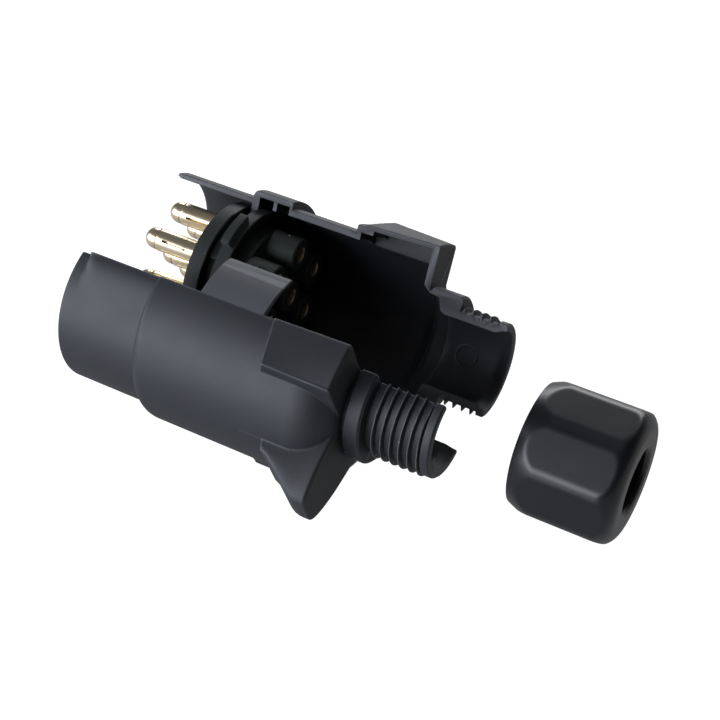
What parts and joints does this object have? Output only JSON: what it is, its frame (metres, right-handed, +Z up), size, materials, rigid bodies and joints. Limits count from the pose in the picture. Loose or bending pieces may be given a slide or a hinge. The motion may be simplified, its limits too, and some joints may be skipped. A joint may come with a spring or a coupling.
{
  "type": "trailer wiring plug",
  "caption": "Round multi-pole trailer wiring plug opened for wiring: split housing, brass pins in a carrier, threaded tail and loose cable gland nut.",
  "frame": {"origin": "centre of the bottom of the bounding box: the flat surface that the opened plug lies on", "axes": "+X along the plug from the pins to the cable end, +Y from the front half towards the back half, +Z up"},
  "size_m": [0.1212, 0.0772, 0.0455],
  "materials": {
    "shell_plastic": "matte black moulded nylon with a fine grain",
    "insert_plastic": "satin black moulded insert",
    "nut_plastic": "smooth satin-gloss black",
    "washer_plastic": "smooth black",
    "seal_rubber": "soft matte black rubber",
    "pin_brass": "pale machined brass, lightly tarnished",
    "screw_steel": "zinc plated steel"
  },
  "bodies": {
    "back_half": {"back_shell": "shell_plastic", "pin_carrier": "insert_plastic", "pin_1": "pin_brass", "pin_2": "pin_brass", "pin_3": "pin_brass", "pin_4": "pin_brass", "pin_5": "pin_brass", "pin_6": "pin_brass", "pin_7": "pin_brass", "terminal_screw_1": "screw_steel", "terminal_screw_2": "screw_steel", "terminal_screw_3": "screw_steel", "terminal_screw_4": "screw_steel", "terminal_screw_5": "screw_steel", "terminal_screw_6": "screw_steel", "terminal_screw_7": "screw_steel"},
    "front_half": {"front_shell": "shell_plastic"},
    "seal": {"cable_seal": "seal_rubber"},
    "washer": {"slip_washer": "washer_plastic"},
    "nut": {"gland_nut": "nut_plastic"}
  },
  "joints": [
    {"name": "cover_fold", "type": "hinge", "parent": "back_half", "child": "front_half", "pos_m": [0, 0, 0.00024], "axis": [-1, 0, 0], "range_deg": [0, 46.4]},
    {"name": "gland_lift", "type": "slide", "parent": "back_half", "child": "seal", "axis": [-0.7433, 0.3681, 0.5586], "range_m": [0, 0.01682]},
    {"name": "nut_advance", "type": "slide", "parent": "seal", "child": "washer", "axis": [-1, 0, 0], "range_m": [0, 0.01072]},
    {"name": "nut_turn", "type": "hinge", "parent": "washer", "child": "nut", "pos_m": [0.047, 0.00425, 0.0152], "axis": [-1, 0, 0], "range_deg": [0, 1834.3]}
  ],
  "couplings": [
    {"joint": "nut_advance", "follows": "nut_turn", "m_per_rad": 0.00033423}
  ]
}
